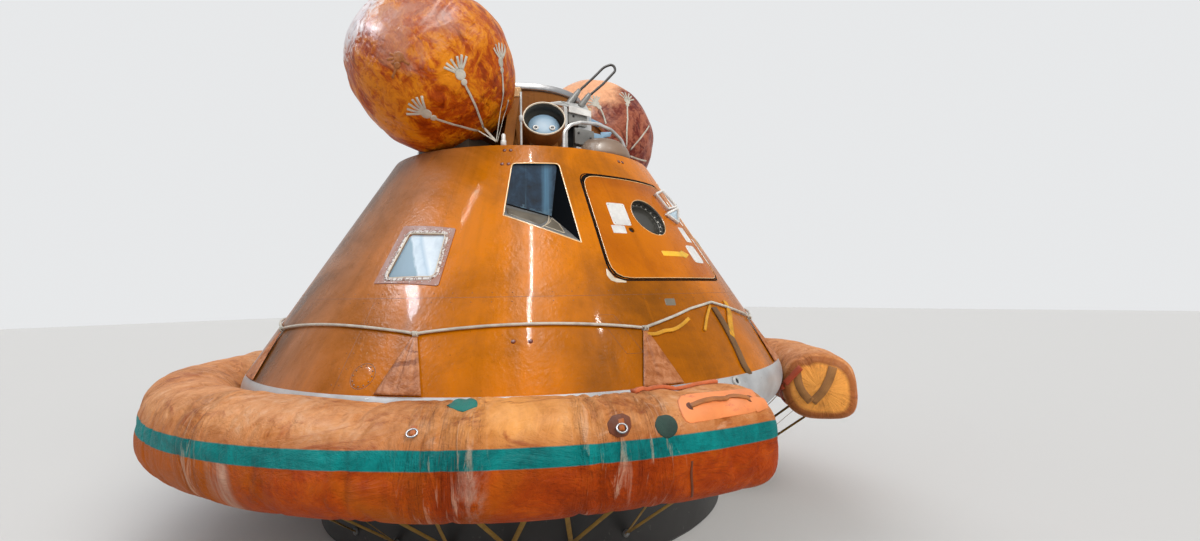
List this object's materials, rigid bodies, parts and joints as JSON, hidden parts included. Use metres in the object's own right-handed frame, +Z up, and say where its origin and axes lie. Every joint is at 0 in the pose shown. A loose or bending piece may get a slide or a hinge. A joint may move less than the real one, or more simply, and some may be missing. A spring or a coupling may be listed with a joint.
{
  "type": "space capsule",
  "caption": "Blunt conical crew-training capsule with a side hatch, inflated flotation collar and uprighting bags, standing on a round plinth.",
  "frame": {"origin": "on the floor under the capsule's axis", "axes": "+Z up along the capsule's axis, -Y out through the middle of the side hatch"},
  "size_m": [4.897, 4.8483, 3.5948],
  "materials": {
    "cone": "glossy amber varnish",
    "hatch": "glossy amber varnish",
    "base_ring": "pale grey, satin, scuffed",
    "dark_glass": "dark blue tinted pane",
    "sky_glass": "pane with a pale blue reflection",
    "window_frame": "flaking pale paint over brown, riveted",
    "bare_metal": "satin",
    "bronze_metal": "brown varnish",
    "cable": "dark sheathed steel cable",
    "bag_orange": "crinkled glossy coated cloth",
    "bag_red": "crinkled glossy coated cloth",
    "collar": "rubberised orange cloth with a teal stripe",
    "tray": "tan paint, worn",
    "flap": "coated cloth",
    "cabin_metal": "matt grey",
    "couch": "grey-green paint",
    "plinth": "matt black",
    "pad": "matt black"
  },
  "bodies": {
    "capsule": {"aft_heat_shield": "base_ring", "bag_tray_1": "tray", "bag_tray_2": "tray", "cabin_floor": "cabin_metal", "collar_bay_1": "collar", "collar_bay_2": "collar", "collar_bay_3": "collar", "collar_bay_4": "collar", "collar_bay_5": "collar", "collar_bay_6": "collar", "collar_bay_7": "collar", "collar_flaps": "flap", "cradle_ring": "pad", "crew_couches": "couch", "display_console": "cabin_metal", "docking_tunnel": "bronze_metal", "equipment_bay": "cabin_metal", "forward_deck": "bronze_metal", "forward_window_glass_left": "dark_glass", "forward_window_glass_right": "dark_glass", "forward_window_panel_left": "cone", "forward_window_panel_right": "cone", "gusset_1": "bronze_metal", "gusset_2": "bronze_metal", "gusset_3": "bronze_metal", "gusset_4": "bronze_metal", "hatch_hinge_frame_side": "bare_metal", "hatch_surround": "cone", "hoist_bracket": "bare_metal", "hoist_loop": "cable", "lower_panel_1": "cone", "lower_panel_2": "cone", "lower_panel_3": "cone", "lower_panel_4": "cone", "lower_panel_5": "cone", "lower_panel_6": "cone", "mortar_can": "bronze_metal", "plinth": "plinth", "rear_panel_1": "cone", "rear_panel_2": "cone", "rear_panel_3": "cone", "rear_panel_4": "cone", "rim_handrail": "bare_metal", "rim_ring": "cone", "side_window_frame_left": "window_frame", "side_window_frame_right": "window_frame", "side_window_glass_left": "sky_glass", "side_window_glass_right": "sky_glass", "side_window_panel_left": "cone", "side_window_panel_right": "cone", "tunnel_hatch": "bare_metal", "uprighting_bag_1": "bag_orange", "uprighting_bag_2": "bag_red"},
    "hatch": {"side_hatch": "hatch", "side_hatch_window": "dark_glass", "side_hatch_handle": "bare_metal", "hatch_hinge_hatch_side": "bare_metal"}
  },
  "joints": [
    {"name": "side_hatch_hinge", "type": "hinge", "parent": "capsule", "child": "hatch", "pos_m": [0.46443, -1.25846, 1.94728], "axis": [-0.1886, 0.511, 0.8387], "range_deg": [0, 110]}
  ]
}
